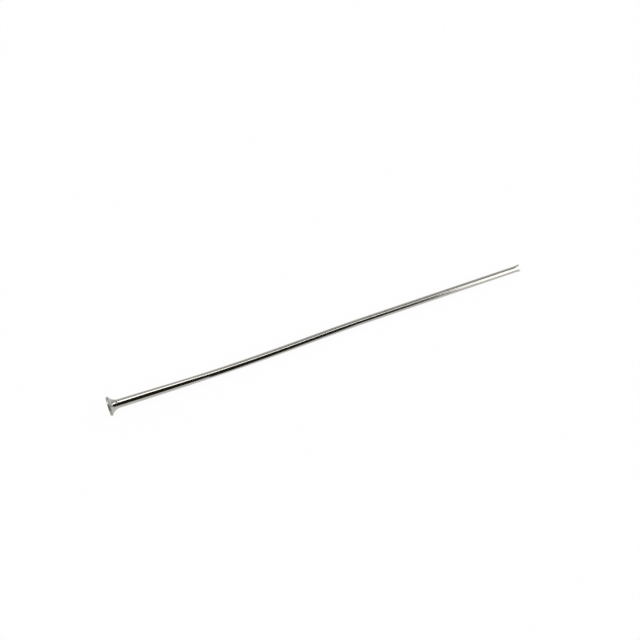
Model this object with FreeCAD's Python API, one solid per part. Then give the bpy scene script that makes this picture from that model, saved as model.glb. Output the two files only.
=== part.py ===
import FreeCAD, Part
import math
import os

# Flat-head wire pin, lying at rest on the plane z = 0.
# One piece of round wire: one end is upset into a flat disc head with a hollow flare behind it, the
# shank swells towards the head, handling has bent it twice, and the other end is nipped off blunt.
# Millimetres, +Z up. The head is at -X, the cut end at +X, and the origin under the middle.

V = FreeCAD.Vector

# Wire
overall_length = 50.0        # outer face of the head to the cut end, along the wire
wire_diameter = 0.77

# Head
head_diameter = 2.00
rim_thickness = 0.24         # height of the disc's rim
rim_rounding = 0.05          # on both edges of the rim
flare_radius = 1.00          # hollow curve from the rim's inner edge down to the neck
neck_swell = 0.075           # what the wire gained in radius where it runs into the flare
swell_length = 11.0          # along the wire, from the neck to where that gain has died away
swell_steps = 6              # intervals between the sections that carry the swell

# Route of the wire's centreline: three straight legs with a bend at each corner between them
head_leg = 13.0              # outer face of the head to the first corner
middle_leg = 14.0            # first corner to the second
first_bend_radius = 264.0
second_bend_radius = 168.0
first_side_turn = 1.6        # degrees in plan, to the left seen from the head
second_side_turn = 1.7       # degrees in plan, back to the right

# Nipped end
spread_length = 0.90         # wire that the cutting jaws squeezed
spread_width = 0.94          # across the squeezed end
spread_thickness = 0.60      # through the squeezed end
spread_roll = 40.0           # degrees that its width leans from the level
spread_stub = 0.10           # more of the squeezed wire, which the cut takes away
spread_steps = 3             # intervals between the sections of the squeezed end
jaw_angle = 35.0             # degrees between each nipped facet and the wire's axis
jaw_land = 0.10              # blunt ridge left between the two facets
nose_radius = 0.85           # rounded outline of the cut end, seen through its thickness

wire_radius = wire_diameter / 2
head_radius = head_diameter / 2
neck_radius = wire_radius + neck_swell


def lean_at_rest():
    """Downward slope of the head leg, in radians, that lets the pin lie on z = 0.

    The rim touches the plane with its inner edge, and the wire lies flat from the first corner on:
    head_radius * cos(lean) - (head_leg - rim_thickness) * sin(lean) = wire_radius.
    """
    reach = head_leg - rim_thickness
    return math.acos(wire_radius / math.hypot(head_radius, reach)) - math.atan2(reach, head_radius)


def bearing(degrees, slope=0.0):
    """Unit direction turned this far from +X in plan and sloping down by so many radians."""
    turn = math.radians(degrees)
    level = math.cos(slope)
    return V(level * math.cos(turn), level * math.sin(turn), -math.sin(slope))


def route_corners():
    """Centre of the head's face, the two corners and the cut end, with both ends on y = 0."""
    lean = lean_at_rest()
    head_height = head_radius * math.cos(lean) + rim_thickness * math.sin(lean)
    tip_leg = overall_length - head_leg - middle_leg
    legs = [
        bearing(0.0, lean) * head_leg,
        bearing(first_side_turn) * middle_leg,
        bearing(first_side_turn - second_side_turn) * tip_leg,
    ]
    corners = [V(0, 0, head_height)]
    for leg in legs:
        corners.append(corners[-1] + leg)
    drift = math.degrees(math.atan2(corners[-1].y, corners[-1].x))
    square_up = FreeCAD.Rotation(V(0, 0, 1), -drift)
    return [square_up.multVec(corner) for corner in corners]


def rounded_corner(before, corner, after, radius):
    """Arc of this radius between the two straight legs that meet in a corner."""
    arriving = (corner - before).normalize()
    leaving = (after - corner).normalize()
    half_turn = arriving.getAngle(leaving) / 2
    setback = radius * math.tan(half_turn)
    inward = (leaving - arriving).normalize()
    middle = corner + inward * (radius / math.cos(half_turn) - radius)
    return Part.Arc(corner - arriving * setback, middle, corner + leaving * setback).toShape()


def start_of(edge):
    return edge.valueAt(edge.FirstParameter)


def end_of(edge):
    return edge.valueAt(edge.LastParameter)


def station(edges, distance):
    """Point and direction at this distance along a chain of edges."""
    for edge in edges[:-1]:
        if distance <= edge.Length:
            break
        distance -= edge.Length
    else:
        edge = edges[-1]
    parameter = edge.getParameterByLength(min(distance, edge.Length))
    return edge.valueAt(parameter), edge.tangentAt(parameter)


def parted(edges, distance):
    """The chain of edges before this distance along it, and the chain after."""
    before, after = [], list(edges)
    while distance >= after[0].Length:
        distance -= after[0].Length
        before.append(after.pop(0))
    first, second = after[0].split(after[0].getParameterByLength(distance)).Edges
    return before + [first], [second] + after[1:]


def on_wire(origin, direction, roll=0.0):
    """Placement whose X runs along the wire and whose Y is level, then rolled about the wire."""
    level = V(0, 0, 1).cross(direction).normalize()
    upright = FreeCAD.Rotation(direction, level, direction.cross(level), "XZY")
    return FreeCAD.Placement(origin, upright * FreeCAD.Rotation(V(1, 0, 0), roll))


def section(place, curve):
    """Closed section across the wire: the curve's own X comes to lie along the placement's Y."""
    across = FreeCAD.Rotation(V(0, 1, 0), V(0, 0, 1), V(1, 0, 0), "ZXY")
    outline = Part.Wire(curve.toShape())
    outline.Placement = place * FreeCAD.Placement(V(0, 0, 0), across)
    return outline


def round_section(place, radius):
    return section(place, Part.Circle(V(0, 0, 0), V(0, 0, 1), radius))


def flare_length():
    """Length along the wire of the hollow flare, from the rim's inner edge to the neck."""
    rise = head_radius - neck_radius
    return math.sqrt(flare_radius ** 2 - (flare_radius - rise) ** 2)


def upset_head():
    """Disc and hollow flare turned about the X axis, with the outer face at x = 0."""
    neck = rim_thickness + flare_length()
    rim_corner = V(rim_thickness, head_radius, 0)
    neck_corner = V(neck, neck_radius, 0)
    hollow_centre = V(neck, neck_radius + flare_radius, 0)
    to_middle = ((rim_corner - hollow_centre) + (neck_corner - hollow_centre)).normalize()
    hollow = Part.Arc(rim_corner, hollow_centre + to_middle * flare_radius, neck_corner)
    outline = Part.Wire([
        Part.makeLine(V(0, 0, 0), V(0, head_radius, 0)),
        Part.makeLine(V(0, head_radius, 0), rim_corner),
        hollow.toShape(),
        Part.makeLine(neck_corner, V(neck, 0, 0)),
        Part.makeLine(V(neck, 0, 0), V(0, 0, 0)),
    ])
    blank = Part.Face(outline).revolve(V(0, 0, 0), V(1, 0, 0), 360)
    rim_edges = [
        edge for edge in blank.Edges
        if isinstance(edge.Curve, Part.Circle) and math.isclose(edge.Curve.Radius, head_radius)
    ]
    return blank.makeFillet(rim_rounding, rim_edges)


def swollen_shank(edges):
    """Shank along these edges that eases from the neck's radius down to the plain wire's."""
    length = sum(edge.Length for edge in edges)
    outlines = []
    for step in range(swell_steps + 1):
        share = step / swell_steps
        swell = neck_swell * (1 - share * share * (3 - 2 * share))
        place = on_wire(*station(edges, share * length))
        outlines.append(round_section(place, wire_radius + swell))
    return Part.makeLoft(outlines, True)


def plain_wire(edges):
    """Wire of its drawn diameter along these edges."""
    start = on_wire(*station(edges, 0.0))
    return Part.Wire(edges).makePipe(Part.Face(round_section(start, wire_radius)))


def squeezed_section(share):
    """Oval section at this share of the squeezed wire: flatter and wider towards the cut."""
    spread = share * share
    half_width = wire_radius + (spread_width / 2 - wire_radius) * spread
    half_thickness = wire_radius - (wire_radius - spread_thickness / 2) * spread
    place = FreeCAD.Placement(V(share * (spread_length + spread_stub), 0, 0), FreeCAD.Rotation())
    if spread == 0:
        return round_section(place, wire_radius)
    return section(place, Part.Ellipse(V(0, 0, 0), half_width, half_thickness))


def jaw_waste(side):
    """Waste that one jaw parts off, above (side 1) or below (side -1) the ridge at the cut."""
    outer = side * spread_thickness
    ridge = side * jaw_land / 2
    run = (spread_thickness - jaw_land / 2) / math.tan(math.radians(jaw_angle))
    beyond = spread_length + 2 * spread_stub
    profile = Part.makePolygon([
        V(beyond, -spread_width, ridge),
        V(beyond, -spread_width, outer),
        V(spread_length - run, -spread_width, outer),
        V(spread_length, -spread_width, ridge),
        V(beyond, -spread_width, ridge),
    ])
    return Part.Face(profile).extrude(V(0, 2 * spread_width, 0))


def nose_waste():
    """Waste beyond the rounded outline of the cut end."""
    centre = spread_length - nose_radius
    beyond = spread_length + 2 * spread_stub
    outline = Part.Arc(V(centre, nose_radius, 0), V(spread_length, 0, 0), V(centre, -nose_radius, 0))
    back = Part.makePolygon([
        V(centre, -nose_radius, 0),
        V(beyond, -nose_radius, 0),
        V(beyond, nose_radius, 0),
        V(centre, nose_radius, 0),
    ])
    profile = Part.Wire([outline.toShape(), *back.Edges])
    profile.translate(V(0, 0, -spread_thickness))
    return Part.Face(profile).extrude(V(0, 0, 2 * spread_thickness))


def nipped_end():
    """Squeezed end along X with its two facets, from x = 0 to the ridge at spread_length."""
    sections = [squeezed_section(step / spread_steps) for step in range(spread_steps + 1)]
    return Part.makeLoft(sections, True).cut([jaw_waste(1), jaw_waste(-1), nose_waste()])


def pin():
    """The whole pin as one solid, lying on z = 0 with its bounding box centred on the origin."""
    face_centre, first_corner, second_corner, cut = route_corners()
    first_bend = rounded_corner(face_centre, first_corner, second_corner, first_bend_radius)
    second_bend = rounded_corner(first_corner, second_corner, cut, second_bend_radius)
    head_direction = (first_corner - face_centre).normalize()
    cut_direction = (cut - second_corner).normalize()
    neck = face_centre + head_direction * (rim_thickness + flare_length())
    squeeze = cut - cut_direction * spread_length

    head = upset_head()
    head.Placement = on_wire(face_centre, head_direction)
    route = [
        Part.makeLine(neck, start_of(first_bend)),
        first_bend,
        Part.makeLine(end_of(first_bend), start_of(second_bend)),
        second_bend,
        Part.makeLine(end_of(second_bend), squeeze),
    ]
    swollen, plain = parted(route, swell_length)
    swell = swollen_shank(swollen)
    shank = plain_wire(plain)
    end = nipped_end()
    end.Placement = on_wire(squeeze, cut_direction, spread_roll)

    [solid] = head.multiFuse([swell, shank, end]).removeSplitter().Solids
    box = solid.optimalBoundingBox()
    solid.translate(V(-box.Center.x, -box.Center.y, -box.ZMin))
    return solid


os.makedirs("parts", exist_ok=True)
pin().exportStep("parts/pin.step")
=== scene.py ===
import math

import bmesh
import bpy
from bpy.props import FloatProperty, FloatVectorProperty, IntProperty, PointerProperty
from mathutils import Matrix, Vector


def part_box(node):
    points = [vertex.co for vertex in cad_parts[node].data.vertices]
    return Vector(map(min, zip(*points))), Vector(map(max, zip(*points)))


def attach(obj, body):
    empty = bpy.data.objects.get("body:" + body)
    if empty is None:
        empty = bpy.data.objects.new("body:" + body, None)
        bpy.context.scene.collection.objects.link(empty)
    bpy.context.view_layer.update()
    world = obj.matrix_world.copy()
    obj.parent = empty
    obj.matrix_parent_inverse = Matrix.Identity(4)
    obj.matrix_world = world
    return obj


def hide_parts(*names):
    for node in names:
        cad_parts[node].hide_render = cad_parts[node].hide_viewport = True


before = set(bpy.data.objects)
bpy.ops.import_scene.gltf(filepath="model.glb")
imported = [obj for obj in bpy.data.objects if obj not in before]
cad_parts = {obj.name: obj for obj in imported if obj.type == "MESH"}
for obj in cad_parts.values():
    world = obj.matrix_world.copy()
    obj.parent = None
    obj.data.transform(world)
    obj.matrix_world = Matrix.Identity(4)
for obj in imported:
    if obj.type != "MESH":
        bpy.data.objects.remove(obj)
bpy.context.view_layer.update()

bl_info = {
    "name": "Flat-head wire pin",
    "version": (1, 0, 0),
    "blender": (4, 5, 0),
    "location": "3D View > Sidebar > Wire pin",
    "description": "Models a plated wire pin with a flat head, and the white table it lies on",
    "category": "Object",
}

MM = 0.001
SAME_PLACE = 1e-7  # metres, within which two places count as one


def length(name, description, millimetres):
    return FloatProperty(
        name=name, description=description, default=millimetres * MM, min=0.0, unit="LENGTH", precision=6
    )


def position(name, description, millimetres):
    return FloatProperty(
        name=name, description=description, default=millimetres * MM, unit="LENGTH", precision=6
    )


def angle(name, description, degrees):
    return FloatProperty(
        name=name, description=description, default=math.radians(degrees), subtype="ANGLE"
    )


def share(name, description, default):
    return FloatProperty(
        name=name, description=description, default=default, min=0.0, max=1.0, subtype="FACTOR"
    )


def count(name, description, default):
    return IntProperty(name=name, description=description, default=default, min=1, max=256)


def brightness(name, description, default):
    return FloatProperty(name=name, description=description, default=default, min=0.0)


def colour(name, description, default):
    return FloatVectorProperty(
        name=name, description=description, default=default, size=3, min=0.0, max=1.0, subtype="COLOR"
    )


class WirePinSizes(bpy.types.PropertyGroup):
    """Sizes of the pin, the same as the solid's."""

    overall_length: length("Overall length", "Outer face of the head to the cut end", 50.0)
    wire_diameter: length("Wire diameter", "Diameter of the plain wire", 0.77)
    head_diameter: length("Head diameter", "Diameter of the disc", 2.00)
    rim_thickness: length("Rim thickness", "Height of the disc's rim", 0.24)
    rim_rounding: length("Rim rounding", "Radius on both edges of the rim", 0.05)
    gripped_rim: length("Gripped rim", "Inner part of the rim that the grip dies left matt", 0.15)
    flare_radius: length("Flare radius", "Hollow curve between rim and neck", 1.00)
    neck_swell: length("Neck swell", "What the wire gains in radius at the neck", 0.075)
    swell_length: length("Swell length", "From the neck to where the gain in radius has died away", 11.0)
    head_leg: length("Head leg", "Outer face of the head to the first corner", 13.0)
    middle_leg: length("Middle leg", "First corner to the second corner", 14.0)
    first_bend_radius: length("First bend", "Radius of the bend nearer to the head", 264.0)
    second_bend_radius: length("Second bend", "Radius of the bend nearer to the cut end", 168.0)
    first_side_turn: angle("First turn", "Turn in plan to the left at the first corner", 1.6)
    second_side_turn: angle("Second turn", "Turn in plan back to the right at the second corner", 1.7)
    spread_length: length("Squeezed length", "Wire that the cutting jaws squeezed", 0.90)
    spread_width: length("Squeezed width", "Across the squeezed end", 0.94)
    spread_thickness: length("Squeezed thickness", "Through the squeezed end", 0.60)
    spread_stub: length("Stub", "More of the squeezed wire, which the cut takes away", 0.10)
    spread_roll: angle("Squeezed roll", "Lean of the squeezed width from the level", 40.0)
    jaw_angle: angle("Jaw angle", "Between each nipped facet and the wire's axis", 35.0)
    jaw_land: length("Jaw land", "Blunt ridge between the two facets", 0.10)
    nose_radius: length("Nose radius", "Rounded outline of the cut end, seen from its flat side", 0.85)
    sides: count("Sides", "Faces round the wire", 96)
    shank_cuts: count("Shank cuts", "Cuts across the shank, for it to swell and bend by", 99)
    flare_steps: count("Flare steps", "Steps of the hollow flare", 18)
    rim_segments: count("Rim segments", "Steps of the rounding on the rim's edges", 8)
    squeeze_steps: count("Squeeze steps", "Steps of the squeezed end", 10)
    nose_cuts: count("Nose cuts", "Flat cuts on each side of the rounded nose", 6)
    crisp_angle: angle("Crisp angle", "Edges sharper than this aren't smoothed over", 20.0)


class WirePinPlating(bpy.types.PropertyGroup):
    """Colours, polish and relief of the plating and of the cut metal."""

    bright: colour("Bright plating", "Colour of the plating where it is clean", (0.459, 0.449, 0.418))
    dull: colour("Dull plating", "Colour of the plating where it has dulled", (0.404, 0.394, 0.364))
    polish: share("Polish", "Lowest roughness of the drawn wire", 0.07)
    wear: share("Wear", "Highest roughness of the drawn wire", 0.17)
    line_depth: length("Drawing lines", "Depth of the lines that the drawing die leaves", 0.0008)
    wave_depth: length("Waves", "Depth of the slow unevenness along the wire", 0.006)
    ring_depth: length("Punch rings", "Depth of the turned rings that the heading punch leaves", 0.0006)
    pit_depth: length("Pits", "Depth of the small pits in the head's face", 0.002)
    grip_polish: share("Grip polish", "Lowest roughness of the gripped rim", 0.55)
    grip_wear: share("Grip wear", "Highest roughness of the gripped rim", 0.70)
    grip_depth: length("Grip marks", "Depth of the fine marks round the gripped rim", 0.001)
    cut: colour("Cut metal", "Colour of the two sheared facets", (0.93, 0.92, 0.89))
    cut_streak: colour("Cut streaks", "Colour of the streaks on the sheared facets", (0.76, 0.75, 0.72))
    cut_polish: share("Cut polish", "Lowest roughness of the sheared facets", 0.30)
    cut_wear: share("Cut wear", "Highest roughness of the sheared facets", 0.45)
    streak_depth: length("Streaks", "Depth of the streaks that the cutting jaws leave", 0.0015)


class WirePinStudio(bpy.types.PropertyGroup):
    """Camera, table, soft light, and the cards and panels that the metal mirrors."""

    turn: angle("Camera turn", "Bearing in plan of the view, from the pin's length", 66.391)
    elevation: angle("Camera elevation", "Height of the camera above the table, as an angle", 51.1)
    distance: length("Camera distance", "Camera to the point on the table that it looks at", 76.604)
    target_along: position("Target along", "Looked-at point on the table, along the pin", -0.34)
    target_across: position("Target across", "Looked-at point on the table, across the pin", 2.507)
    focal: FloatProperty(name="Focal length", description="Lens, in mm on a 36 mm frame", default=37.69)
    table_size: length("Table size", "Side of the square table top", 1600.0)
    table_colour: colour("Table", "Colour of the table top", (0.92, 0.92, 0.92))
    table_glow: share("Table white", "Share of plain white in what the camera sees of the table", 0.95)
    sky_level: brightness("Soft light", "Strength of the light from all round", 1.0)
    top_level: brightness("Top panel", "Brightness of the panel overhead", 3.2)
    side_level: brightness("Side panel", "Brightness of the panel beyond the cut end", 2.25)
    wall_level: share("Far wall", "Brightness of the wall on the far side", 0.69)
    room_level: share("Room", "Brightness of the grey room in the metal", 0.36)
    strip_start_level: share("Strip start", "Brightness of the strip beyond the panel, at the head", 0.42)
    strip_end_level: share("Strip end", "Brightness of the strip beyond the panel, at the cut end", 0.23)
    end_level: brightness("End panel", "Brightness of the small panel in front of the cut end", 1.2)
    card_colour: colour("Cards", "Warm near-black of the cards", (0.018, 0.0148, 0.0095))
    room_radius: length("Room radius", "From the pin to the grey walls", 2000.0)
    panel_distance: length("Panel distance", "From the pin's middle to the main panels", 600.0)
    head_distance: length("Head cards", "From the pin's middle to the cards by its head", 60.0)
    tip_side_distance: length("Tip side panel", "From the pin's middle to the panel beside its tip", 10.0)
    tip_end_distance: length("Tip end panel", "From the pin's middle to the panel beyond its tip", 32.0)
    front_height: length("Front card", "Height above the table of the card in front of the pin", 0.02)


# Route of the wire


def lean_at_rest(sizes):
    """Downward slope of the head leg that lets the rim's inner edge touch the table."""
    reach = sizes.head_leg - sizes.rim_thickness
    rim = sizes.head_diameter / 2
    return math.acos(sizes.wire_diameter / 2 / math.hypot(rim, reach)) - math.atan2(reach, rim)


def bearing(turn, slope=0.0):
    """Unit direction turned this far from +X in plan, sloping down."""
    level = math.cos(slope)
    return Vector((level * math.cos(turn), level * math.sin(turn), -math.sin(slope)))


def route_corners(sizes):
    """Centre of the head's face, the two corners and the cut end, with both ends on y = 0."""
    lean = lean_at_rest(sizes)
    tip_leg = sizes.overall_length - sizes.head_leg - sizes.middle_leg
    legs = [
        bearing(0.0, lean) * sizes.head_leg,
        bearing(sizes.first_side_turn) * sizes.middle_leg,
        bearing(sizes.first_side_turn - sizes.second_side_turn) * tip_leg,
    ]
    rim = sizes.head_diameter / 2
    corners = [Vector((0, 0, rim * math.cos(lean) + sizes.rim_thickness * math.sin(lean)))]
    for leg in legs:
        corners.append(corners[-1] + leg)
    drift = math.atan2(corners[-1].y, corners[-1].x)
    square_up = Matrix.Rotation(-drift, 3, "Z")
    return [square_up @ corner for corner in corners]


def route_stations(sizes):
    """Ends of the route's runs and bends in order: place, direction, and length since the last."""
    corners = route_corners(sizes)
    stations = [(corners[0], (corners[1] - corners[0]).normalized(), 0.0)]
    for i, radius in ((1, sizes.first_bend_radius), (2, sizes.second_bend_radius)):
        arriving = (corners[i] - corners[i - 1]).normalized()
        leaving = (corners[i + 1] - corners[i]).normalized()
        turn = arriving.angle(leaving)
        setback = radius * math.tan(turn / 2)
        start = corners[i] - arriving * setback
        stations.append((start, arriving, (start - stations[-1][0]).length))
        stations.append((corners[i] + leaving * setback, leaving, radius * turn))
    stations.append((corners[-1], leaving, (corners[-1] - stations[-1][0]).length))
    return stations


def flare_length(sizes):
    rise = (sizes.head_diameter - sizes.wire_diameter) / 2 - sizes.neck_swell
    return math.sqrt(sizes.flare_radius**2 - (sizes.flare_radius - rise) ** 2)


# Hand tools in edit mode


def deselect_all():
    for thing in bpy.context.selected_objects:
        thing.select_set(False)


def pick(mesh, kind, chosen):
    """Selects only the vertices, edges or faces that the test chooses."""
    bpy.ops.mesh.select_mode(type=kind)
    bpy.ops.mesh.select_all(action="DESELECT")
    shape = bmesh.from_edit_mesh(mesh)
    for item in {"VERT": shape.verts, "EDGE": shape.edges, "FACE": shape.faces}[kind]:
        if chosen(item):
            item.select_set(True)
    shape.select_flush_mode()
    bmesh.update_edit_mesh(mesh)


def pick_ring(mesh, x):
    """Selects the ring of vertices at this place along the straight wire."""
    pick(mesh, "VERT", lambda vertex: abs(vertex.co.x - x) < SAME_PLACE)


def draw_out(step, across=1.0, through=1.0):
    """Extrudes the selected ring along the wire and resizes the new ring about the wire's axis."""
    bpy.ops.mesh.extrude_edges_move(TRANSFORM_OT_translate={"value": (step, 0, 0)})
    bpy.ops.transform.resize(value=(1, across, through), center_override=(0, 0, 0))


# The pin, modelled straight along X with the head's outer face at x = 0, and then bent


def draw_wire(sizes, neck, squeeze):
    """Plain wire from the neck to where the jaws squeeze it, swelling smoothly towards the neck."""
    deselect_all()
    bpy.ops.mesh.primitive_circle_add(
        vertices=sizes.sides,
        radius=sizes.wire_diameter / 2,
        location=(neck, 0, 0),
        rotation=(0, math.pi / 2, 0),
    )
    pin = bpy.context.object
    pin.name = pin.data.name = "plated_pin"
    bpy.ops.object.transform_apply(location=True, rotation=True, scale=True)
    bpy.ops.object.mode_set(mode="EDIT")
    bpy.ops.mesh.select_all(action="SELECT")
    draw_out(squeeze - neck)
    pick(pin.data, "EDGE", lambda edge: abs(edge.verts[0].co.x - edge.verts[1].co.x) > MM)
    bpy.ops.mesh.subdivide(number_cuts=sizes.shank_cuts)
    pick_ring(pin.data, neck)
    swollen = 1 + 2 * sizes.neck_swell / sizes.wire_diameter
    bpy.ops.transform.resize(
        value=(1, swollen, swollen),
        center_override=(0, 0, 0),
        use_proportional_edit=True,
        proportional_edit_falloff="SMOOTH",
        proportional_size=sizes.swell_length,
    )
    return pin


def is_outer_face(face):
    """True for faces square to the wire at the head's end."""
    return face.normal.x < -0.999


def upset_head(pin, sizes, neck):
    """Flare and disc, extruded from the neck towards the outer face, with both rim edges rounded.

    The outer face is inset twice: by a guard ring that keeps it flat beside the rounding, and again
    by part of its radius.
    """
    pick_ring(pin.data, neck)
    neck_radius = sizes.wire_diameter / 2 + sizes.neck_swell
    rim_radius = sizes.head_diameter / 2
    guard_ring = 0.01 * MM
    inner_ring = 0.4 * rim_radius
    sweep = math.acos(1 - (rim_radius - neck_radius) / sizes.flare_radius)
    last_x, last_radius = neck, neck_radius
    for step in range(1, sizes.flare_steps + 1):
        turned = sweep * step / sizes.flare_steps
        x = neck - sizes.flare_radius * math.sin(turned)
        radius = neck_radius + sizes.flare_radius * (1 - math.cos(turned))
        draw_out(x - last_x, radius / last_radius, radius / last_radius)
        last_x, last_radius = x, radius
    draw_out(-sizes.gripped_rim)
    draw_out(sizes.gripped_rim - last_x)
    bpy.ops.mesh.edge_face_add()
    for x, setback in (
        (0.0, sizes.rim_rounding),
        (sizes.rim_thickness, sizes.rim_rounding * math.tan(sweep / 2)),
    ):
        pick(
            pin.data,
            "EDGE",
            lambda edge: all(
                abs(vertex.co.x - x) < SAME_PLACE and vertex.co.yz.length > 0.9 * rim_radius
                for vertex in edge.verts
            ),
        )
        bpy.ops.mesh.bevel(offset=setback, segments=sizes.rim_segments, profile=0.5, affect="EDGES")
    pick(pin.data, "FACE", lambda face: is_outer_face(face) and len(face.verts) > 4)
    bpy.ops.mesh.inset(thickness=guard_ring)
    bpy.ops.mesh.inset(thickness=inner_ring)


def trim(place, outward):
    """Cuts off what lies outside a plane, and closes the cut."""
    bpy.ops.mesh.select_all(action="SELECT")
    bpy.ops.mesh.bisect(
        plane_co=place, plane_no=outward, use_fill=True, clear_outer=True, threshold=1e-8
    )


def nip_end(pin, sizes, squeeze):
    """Squeezes the last of the wire to an oval and nips it off with two facets and a ridge."""
    pick_ring(pin.data, squeeze)
    wire = sizes.wire_diameter / 2
    steps = sizes.squeeze_steps
    last_width, last_thickness = wire, wire
    for step in range(1, steps + 1):
        spread = (step / steps) ** 2
        width = wire + (sizes.spread_width / 2 - wire) * spread
        thickness = wire - (wire - sizes.spread_thickness / 2) * spread
        reach = (sizes.spread_length + sizes.spread_stub) / steps
        draw_out(reach, width / last_width, thickness / last_thickness)
        last_width, last_thickness = width, thickness
    bpy.ops.mesh.edge_face_add()
    end = squeeze + sizes.spread_length
    for side in (1, -1):
        outward = Vector((math.sin(sizes.jaw_angle), 0, side * math.cos(sizes.jaw_angle)))
        trim((end, 0, side * sizes.jaw_land / 2), outward)
    nose_centre = Vector((end - sizes.nose_radius, 0, 0))
    nose_reach = math.radians(30)
    for cut in range(-sizes.nose_cuts, sizes.nose_cuts + 1):
        outward = bearing(nose_reach * cut / sizes.nose_cuts)
        trim(nose_centre + outward * sizes.nose_radius, outward)


def lay_on_finishes(pin, sizes, squeeze, finishes):
    """Gives the wire, the head's outer face, the facets and the gripped rim each its own finish."""
    matt_from = sizes.rim_thickness - sizes.gripped_rim
    matt_to = sizes.rim_thickness + 0.5 * sizes.rim_rounding
    pin.data.materials.clear()
    for finish in finishes:
        pin.data.materials.append(finish)
    for slot, chosen in (
        (1, is_outer_face),
        (2, lambda face: face.normal.x > 0.3 and face.calc_center_median().x > squeeze),
        (3, lambda face: matt_from < face.calc_center_median().x < matt_to),
    ):
        pick(pin.data, "FACE", chosen)
        pin.active_material_index = slot
        bpy.ops.object.material_slot_assign()


def keep_straight_places(pin):
    """Keeps each vertex's place on the straight wire, for patterns that run along it."""
    places = [0.0] * (3 * len(pin.data.vertices))
    pin.data.vertices.foreach_get("co", places)
    kept = pin.data.attributes.new("straight_wire", "FLOAT_VECTOR", "POINT")
    kept.data.foreach_set("vector", places)


def bend(pin, stations):
    """Bends the straight pin along its route, from the head's face to the cut end.

    A curve's handle reaches a third of the way to the next station. The first station has no run
    before it and the last has none after it, so each takes its one neighbour's run on both sides.
    """
    deselect_all()
    bpy.ops.curve.primitive_bezier_curve_add(location=(0, 0, 0))
    route = bpy.context.object
    bpy.ops.object.mode_set(mode="EDIT")
    bpy.ops.curve.select_all(action="SELECT")
    bpy.ops.curve.subdivide(number_cuts=len(stations) - 2)
    bpy.ops.curve.handle_type_set(type="FREE_ALIGN")
    bpy.ops.object.mode_set(mode="OBJECT")
    route.data.resolution_u = 64
    route.data.twist_mode = "Z_UP"
    points = route.data.splines[0].bezier_points
    last_run = stations[-1][2]
    after = [run for _, _, run in stations[1:]] + [last_run]
    for point, (place, direction, before), following in zip(points, stations, after):
        point.handle_left_type = point.handle_right_type = "FREE"
        point.co = place
        point.handle_left = place - direction * (before or following) / 3
        point.handle_right = place + direction * following / 3
    route.select_set(False)
    bpy.context.view_layer.objects.active = pin
    pin.select_set(True)
    bender = pin.modifiers.new("Bend", "CURVE")
    bender.object = route
    bender.deform_axis = "POS_X"
    bpy.ops.object.modifier_apply(modifier=bender.name)
    bpy.data.curves.remove(route.data)


def lay_down(pin):
    """Moves the pin to where the solid lies, and leaves its object at the origin."""
    places = [vertex.co for vertex in pin.data.vertices]
    low = Vector(map(min, zip(*places)))
    high = Vector(map(max, zip(*places)))
    solid_low, solid_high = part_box("pin")
    shift = (solid_low + solid_high - low - high) / 2
    shift.z = solid_low.z - low.z
    bpy.ops.transform.translate(value=shift)
    bpy.ops.object.transform_apply(location=True, rotation=True, scale=True)


# Finishes


class Nodes:
    """Shorthand for building the nodes of a material or a world."""

    def __init__(self, tree):
        self.tree = tree
        tree.nodes.clear()

    def add(self, kind, inputs=None, **settings):
        node = self.tree.nodes.new(kind)
        for name, value in settings.items():
            setattr(node, name, value)
        for name, value in (inputs or {}).items():
            if isinstance(value, bpy.types.NodeSocket):
                self.tree.links.new(value, node.inputs[name])
            else:
                node.inputs[name].default_value = value
        return node


def new_material(name):
    material = bpy.data.materials.new(name)
    material.use_nodes = True
    return material, Nodes(material.node_tree)


def straight_places(nodes, scale):
    """Places on the straight wire, stretched by this scale: along it, across it and through it."""
    straight = nodes.add("ShaderNodeAttribute", attribute_name="straight_wire")
    stretched = nodes.add("ShaderNodeMapping", {"Vector": straight.outputs["Vector"], "Scale": scale})
    return stretched.outputs["Vector"]


def noise(nodes, scale, detail, roughness):
    """Noise whose scale is given along, across and through the wire."""
    texture = nodes.add(
        "ShaderNodeTexNoise",
        {"Vector": straight_places(nodes, scale), "Scale": 1.0, "Detail": detail, "Roughness": roughness},
    )
    return texture.outputs["Fac"]


def ranged(nodes, value, from_low, from_high, to_low=0.0, to_high=1.0):
    """The value, carried over from one range to another and held at both ends."""
    ranger = nodes.add(
        "ShaderNodeMapRange",
        {"Value": value, "From Min": from_low, "From Max": from_high, "To Min": to_low, "To Max": to_high},
    )
    return ranger.outputs["Result"]


def worn(nodes, pattern, polish, wear):
    """Roughness that follows a noise pattern, most of which lies between 0.3 and 0.7."""
    return ranged(nodes, pattern, 0.3, 0.7, polish, wear)


def blended(nodes, pattern, start, full, first, second):
    """The first colour where the pattern is below the start, and the second where it is past full."""
    share_of_second = ranged(nodes, pattern, start, full)
    mix = nodes.add("ShaderNodeMix", {"Factor": share_of_second}, data_type="RGBA")
    mix.inputs["A"].default_value = (*first, 1)
    mix.inputs["B"].default_value = (*second, 1)
    return mix.outputs["Result"]


def raised(nodes, height, depth, under=None):
    """Normal of a relief this deep, laid over another relief's normal."""
    below = {"Normal": under} if under else {}
    relief = nodes.add("ShaderNodeBump", {"Height": height, "Distance": depth, **below})
    return relief.outputs["Normal"]


def plated_metal(nodes, tone, roughness, normal):
    metal = nodes.add(
        "ShaderNodeBsdfPrincipled",
        {"Base Color": tone, "Metallic": 1.0, "Roughness": roughness, "Normal": normal},
    )
    nodes.add("ShaderNodeOutputMaterial", {"Surface": metal.outputs["BSDF"]})


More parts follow.
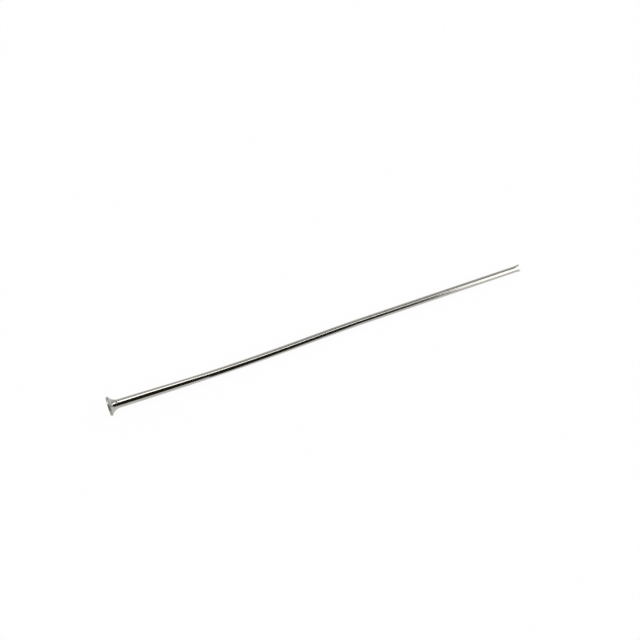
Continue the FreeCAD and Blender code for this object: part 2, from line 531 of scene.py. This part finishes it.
def drawn_wire_plating(plating):
    """Bright plating over drawn wire: fine lines along it, slow waves and dull clouds."""
    material, nodes = new_material("drawn_wire_plating")
    lines = noise(nodes, scale=(250, 22000, 22000), detail=3.0, roughness=0.6)
    waves = noise(nodes, scale=(420, 700, 700), detail=1.0, roughness=0.4)
    clouds = noise(nodes, scale=(900, 900, 900), detail=4.0, roughness=0.55)
    tone = blended(nodes, clouds, 0.5, 0.75, plating.bright, plating.dull)
    roughness = worn(nodes, lines, plating.polish, plating.wear)
    wavy = raised(nodes, waves, plating.wave_depth)
    plated_metal(nodes, tone, roughness, raised(nodes, lines, plating.line_depth, wavy))
    return material


def struck_face_plating(plating):
    """Plating over the head's outer face: faint rings from the turned heading punch, and small pits."""
    material, nodes = new_material("struck_face_plating")
    rings = nodes.add(
        "ShaderNodeTexWave",
        {"Vector": straight_places(nodes, (1, 1, 1)), "Scale": 7000.0, "Distortion": 1.5, "Detail": 2.0},
        wave_type="RINGS",
        rings_direction="X",
    )
    pits = noise(nodes, scale=(9000, 9000, 9000), detail=2.0, roughness=0.5)
    tone = blended(nodes, pits, 0.55, 0.7, plating.bright, plating.dull)
    roughness = worn(nodes, pits, plating.polish, plating.wear)
    ringed = raised(nodes, rings.outputs["Fac"], plating.ring_depth)
    sunk = raised(nodes, ranged(nodes, pits, 0.6, 0.7, 1.0, 0.0), plating.pit_depth, ringed)
    plated_metal(nodes, tone, roughness, sunk)
    return material


def gripped_rim_plating(plating):
    """Plating over the rim's inner part, which the grip dies left matt with fine marks round it."""
    material, nodes = new_material("gripped_rim_plating")
    marks = noise(nodes, scale=(26000, 1500, 1500), detail=3.0, roughness=0.6)
    tone = blended(nodes, marks, 0.5, 0.75, plating.bright, plating.dull)
    roughness = worn(nodes, marks, plating.grip_polish, plating.grip_wear)
    plated_metal(nodes, tone, roughness, raised(nodes, marks, plating.grip_depth))
    return material


def sheared_facets(plating):
    """Bare cut metal: brighter than the plating and rougher, with streaks that run with the cut."""
    material, nodes = new_material("sheared_facets")
    streaks = noise(nodes, scale=(900, 16000, 900), detail=3.0, roughness=0.6)
    tone = blended(nodes, streaks, 0.4, 0.7, plating.cut, plating.cut_streak)
    roughness = worn(nodes, streaks, plating.cut_polish, plating.cut_wear)
    plated_metal(nodes, tone, roughness, raised(nodes, streaks, plating.streak_depth))
    return material


# Studio


def rays_that_see_white(nodes):
    """1 for camera, glossy and transmission rays, and 0 for the rest."""
    path = nodes.add("ShaderNodeLightPath")
    seen = path.outputs["Is Camera Ray"]
    for other in ("Is Glossy Ray", "Is Transmission Ray"):
        either = nodes.add("ShaderNodeMath", operation="MAXIMUM")
        nodes.tree.links.new(seen, either.inputs[0])
        nodes.tree.links.new(path.outputs[other], either.inputs[1])
        seen = either.outputs["Value"]
    return seen


def white_surroundings(studio):
    """World that lights softly from all round and is seen as plain white."""
    world = bpy.data.worlds.new("white_surroundings")
    bpy.context.scene.world = world
    world.use_nodes = True
    nodes = Nodes(world.node_tree)
    soft = nodes.add("ShaderNodeBackground", {"Color": (1, 1, 1, 1), "Strength": studio.sky_level})
    white = nodes.add("ShaderNodeBackground", {"Color": (1, 1, 1, 1), "Strength": 1.0})
    both = nodes.add("ShaderNodeMixShader", {"Fac": rays_that_see_white(nodes)})
    world.node_tree.links.new(soft.outputs[0], both.inputs[1])
    world.node_tree.links.new(white.outputs[0], both.inputs[2])
    nodes.add("ShaderNodeOutputWorld", {"Surface": both.outputs[0]})


def table_top(studio):
    """White table that keeps the pin's soft shadow."""
    deselect_all()
    bpy.ops.mesh.primitive_plane_add(size=studio.table_size, location=(0, 0, 0))
    table = bpy.context.object
    table.name = "table_top"
    material, nodes = new_material("white_table")
    paint = nodes.add("ShaderNodeBsdfDiffuse", {"Color": (*studio.table_colour, 1)})
    white = nodes.add("ShaderNodeEmission", {"Color": (1, 1, 1, 1), "Strength": 1.0})
    glow = nodes.add(
        "ShaderNodeMath", {0: rays_that_see_white(nodes), 1: studio.table_glow}, operation="MULTIPLY"
    )
    both = nodes.add("ShaderNodeMixShader", {"Fac": glow.outputs["Value"]})
    nodes.tree.links.new(paint.outputs[0], both.inputs[1])
    nodes.tree.links.new(white.outputs[0], both.inputs[2])
    nodes.add("ShaderNodeOutputMaterial", {"Surface": both.outputs[0]})
    table.data.materials.append(material)


def seen_in_metal_only(card):
    """Lets a card or panel show in the metal alone, so it lights nothing and casts no shadow."""
    card.visible_camera = False
    card.visible_diffuse = False
    card.visible_transmission = False
    card.visible_shadow = False
    card.visible_volume_scatter = False


def glowing_material(name, tint):
    material, nodes = new_material(name)
    glow = nodes.add("ShaderNodeEmission", {"Color": (*tint, 1), "Strength": 1.0})
    nodes.add("ShaderNodeOutputMaterial", {"Surface": glow.outputs[0]})
    return material


def grey(level):
    return (level, level, level)


def grey_room(studio):
    """Grey walls and ceiling round the table, which the metal mirrors between the panels."""
    deselect_all()
    bpy.ops.mesh.primitive_uv_sphere_add(
        segments=64, ring_count=32, radius=studio.room_radius, location=(0, 0, 0)
    )
    room = bpy.context.object
    room.name = "grey_room"
    room.data.materials.append(glowing_material("grey_room", grey(studio.room_level)))
    seen_in_metal_only(room)


def hang(name, corners, tint):
    """Flat card or glowing panel between these corners, which only the metal shows."""
    deselect_all()
    bpy.ops.mesh.primitive_circle_add(vertices=len(corners), fill_type="NGON", location=(0, 0, 0))
    card = bpy.context.object
    card.name = name
    for vertex, corner in zip(card.data.vertices, corners):
        vertex.co = corner
    card.data.materials.append(glowing_material(name, tint))
    seen_in_metal_only(card)


def toward(along, height):
    """Unit direction, in degrees towards the cut end, and degrees up and over to the far side."""
    along, height = math.radians(along), math.radians(height)
    level = math.cos(along)
    return Vector((math.sin(along), -level * math.cos(height), level * math.sin(height)))


def hang_toward(name, facing, outline, tint, distance):
    """Card or panel whose outline is given by directions from the middle of the pin."""
    middle = toward(*facing)
    corners = [toward(*corner) for corner in outline]
    hang(name, [distance * corner / corner.dot(middle) for corner in corners], tint)


def hang_main_panels(studio):
    """Dark card round the lens, panels overhead and at the side, dark strip beyond, light far wall.

    Each outline is a list of directions, in degrees along and degrees up and over.
    """
    lens_top = ((14, 80), (9, 79.5), (4, 83), (0, 86), (-30, 86))
    lens_side = ((33.3, 1), (30.1, 20), (25.5, 40), (21, 60), (17.6, 75))
    top_near = ((-15, 86), *lens_top[-2::-1], (16.6, 79), (34, 79))
    top_far = ((34, 84), (24, 89), (14, 92.5), (7, 99), (-4, 117.5), (-15, 128))
    side_near = [(26.2, height) for height in (8, 25, 42, 58, 75, 92)]
    side_far = ((33, 92), (33, 58), (33, 25), (33, 8))
    strip_start = ((-15, 128), (-4, 117.5), (7, 99), (7, 118), (-15, 135))
    strip_middle = ((7, 99), (14, 92.5), (24, 89), (24, 118), (14, 118), (7, 118))
    strip_end = ((24, 89), (34, 84), (34, 119), (24, 118))
    wall_near = ((-30, 140), (-15, 135), (7, 118), (14, 118), (24, 118), (34, 119))
    for name, facing, outline, tint in (
        ("lens_card", (0, 45), ((-30, 1), *lens_side, *lens_top), studio.card_colour),
        ("top_panel", (5, 95), (*top_near, *top_far), grey(studio.top_level)),
        ("side_panel", (30, 50), (*side_near, *side_far), grey(studio.side_level)),
        ("strip_start", (-5, 120), strip_start, grey(studio.strip_start_level)),
        ("strip_middle", (14, 112), strip_middle, studio.card_colour),
        ("strip_end", (29, 105), strip_end, grey(studio.strip_end_level)),
        ("far_wall", (2, 150), (*wall_near, (34, 179), (-30, 179)), grey(studio.wall_level)),
    ):
        hang_toward(name, facing, outline, tint, studio.panel_distance)


def hang_end_panels(studio):
    """The same bands of dark and light carried on towards the cut end, for the flare to mirror."""
    start, end = 34, 86
    parts = 6
    for name, low, high, tint in (
        ("end_card", 1, 80, studio.card_colour),
        ("end_top", 80, 112, grey(studio.top_level)),
        ("end_strip", 112, 130, studio.card_colour),
        ("end_wall", 130, 179, grey(studio.wall_level)),
    ):
        heights = [low + (high - low) * part / parts for part in range(parts + 1)]
        outline = [(start, height) for height in heights]
        outline += [(end, height) for height in reversed(heights)]
        facing = ((start + end) / 2, (low + high) / 2)
        hang_toward(name, facing, outline, tint, studio.panel_distance)


def set_near_cards(studio):
    """Small cards and panels close to the pin, each mirrored by only one stretch of it.

    The last one lies just above the table, and its outline is given in plan, in millimetres.
    """
    head_side = ((3, 5), (20, 5), (20, 78), (3, 78))
    head_top = ((-16.7, 76), (-6.7, 76), (-6.7, 89), (-10, 93.5), (-16.7, 94))
    head_glow = ((-17.5, 97), (-7.3, 97), (-7.3, 115), (-11.4, 115), (-15.4, 116), (-17.5, 112))
    tip_side = ((64, 8), (71.5, 8), (71.5, 80), (64, 80))
    tip_end = ((78, 0.5), (78, 60), (78, 120), (78, 179.5))
    for name, facing, outline, tint, distance in (
        ("head_side_card", (0, 41), head_side, studio.card_colour, studio.head_distance),
        ("head_top_card", (0, 88), head_top, studio.card_colour, studio.head_distance),
        ("head_top_glow", (0, 105), head_glow, grey(studio.top_level), studio.head_distance),
        ("tip_side_glow", (0, 44), tip_side, grey(studio.side_level), studio.tip_side_distance),
        ("tip_end_glow", (90, 0), tip_end, grey(studio.end_level), studio.tip_end_distance),
    ):
        hang_toward(name, facing, outline, tint, distance)
    front = ((-14.2, -1.5), (-11.5, -1.42), (0.5, -2.1), (3.5, -2.6), (87, -300), (12, -300))
    corners = [(x * MM, y * MM, studio.front_height) for x, y in front]
    hang("front_card", corners, studio.card_colour)


def place_camera(studio):
    """Camera that looks down past its target on the table, with the horizon level."""
    forward = bearing(studio.turn, studio.elevation)
    right = forward.cross(Vector((0, 0, 1))).normalized()
    up = right.cross(forward)
    target = Vector((studio.target_along, studio.target_across, 0))
    camera = bpy.data.cameras.new("camera")
    camera.sensor_width = 36.0
    camera.lens = studio.focal
    camera.clip_start = 0.001
    camera.clip_end = 10.0
    holder = bpy.data.objects.new("camera", camera)
    bpy.context.scene.collection.objects.link(holder)
    turned = Matrix((right, up, -forward)).transposed().to_4x4()
    holder.matrix_world = Matrix.Translation(target - forward * studio.distance) @ turned
    bpy.context.scene.camera = holder


class WIRE_PIN_OT_pin(bpy.types.Operator):
    """Model the pin: drawn wire, upset head and nipped end in one piece, bent and laid on the table"""

    bl_idname = "wire_pin.pin"
    bl_label = "Wire pin"

    def execute(self, context):
        sizes = context.scene.wire_pin_sizes
        stations = route_stations(sizes)
        wire_length = sum(run for _, _, run in stations)
        neck = sizes.rim_thickness + flare_length(sizes)
        squeeze = wire_length - sizes.spread_length
        pin = draw_wire(sizes, neck, squeeze)
        upset_head(pin, sizes, neck)
        nip_end(pin, sizes, squeeze)
        bpy.ops.mesh.select_all(action="SELECT")
        bpy.ops.mesh.normals_make_consistent(inside=False)
        plating = context.scene.wire_pin_plating
        finishes = (
            drawn_wire_plating(plating),
            struck_face_plating(plating),
            sheared_facets(plating),
            gripped_rim_plating(plating),
        )
        lay_on_finishes(pin, sizes, squeeze, finishes)
        bpy.ops.object.mode_set(mode="OBJECT")
        keep_straight_places(pin)
        bpy.ops.transform.rotate(value=-sizes.spread_roll, orient_axis="X", center_override=(0, 0, 0))
        bpy.ops.object.transform_apply(location=False, rotation=True, scale=False)
        bend(pin, stations)
        lay_down(pin)
        bpy.ops.object.shade_smooth_by_angle(angle=sizes.crisp_angle)
        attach(pin, "root")
        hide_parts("pin")
        return {"FINISHED"}


class WIRE_PIN_OT_studio(bpy.types.Operator):
    """Set up the white table, the soft light, the cards that the metal mirrors, and the camera"""

    bl_idname = "wire_pin.studio"
    bl_label = "Studio"

    def execute(self, context):
        studio = context.scene.wire_pin_studio
        context.scene.view_settings.view_transform = "Standard"
        white_surroundings(studio)
        table_top(studio)
        grey_room(studio)
        hang_main_panels(studio)
        hang_end_panels(studio)
        set_near_cards(studio)
        place_camera(studio)
        return {"FINISHED"}


class WIRE_PIN_PT_panel(bpy.types.Panel):
    """Lists the pin and its studio"""

    bl_idname = "WIRE_PIN_PT_panel"
    bl_label = "Wire pin"
    bl_space_type = "VIEW_3D"
    bl_region_type = "UI"
    bl_category = "Wire pin"

    def draw(self, context):
        scene = context.scene
        for operator, settings in (
            (WIRE_PIN_OT_pin, (scene.wire_pin_sizes, scene.wire_pin_plating)),
            (WIRE_PIN_OT_studio, (scene.wire_pin_studio,)),
        ):
            column = self.layout.column(align=True)
            column.operator(operator.bl_idname)
            for group in settings:
                for name in group.__annotations__:
                    column.prop(group, name)


classes = (
    WirePinSizes,
    WirePinPlating,
    WirePinStudio,
    WIRE_PIN_OT_pin,
    WIRE_PIN_OT_studio,
    WIRE_PIN_PT_panel,
)


def register():
    for item in classes:
        bpy.utils.register_class(item)
    bpy.types.Scene.wire_pin_sizes = PointerProperty(type=WirePinSizes)
    bpy.types.Scene.wire_pin_plating = PointerProperty(type=WirePinPlating)
    bpy.types.Scene.wire_pin_studio = PointerProperty(type=WirePinStudio)


def unregister():
    del bpy.types.Scene.wire_pin_sizes
    del bpy.types.Scene.wire_pin_plating
    del bpy.types.Scene.wire_pin_studio
    for item in reversed(classes):
        bpy.utils.unregister_class(item)


def main():
    register()
    bpy.ops.wire_pin.pin()
    bpy.ops.wire_pin.studio()


if __name__ == "__main__":
    main()
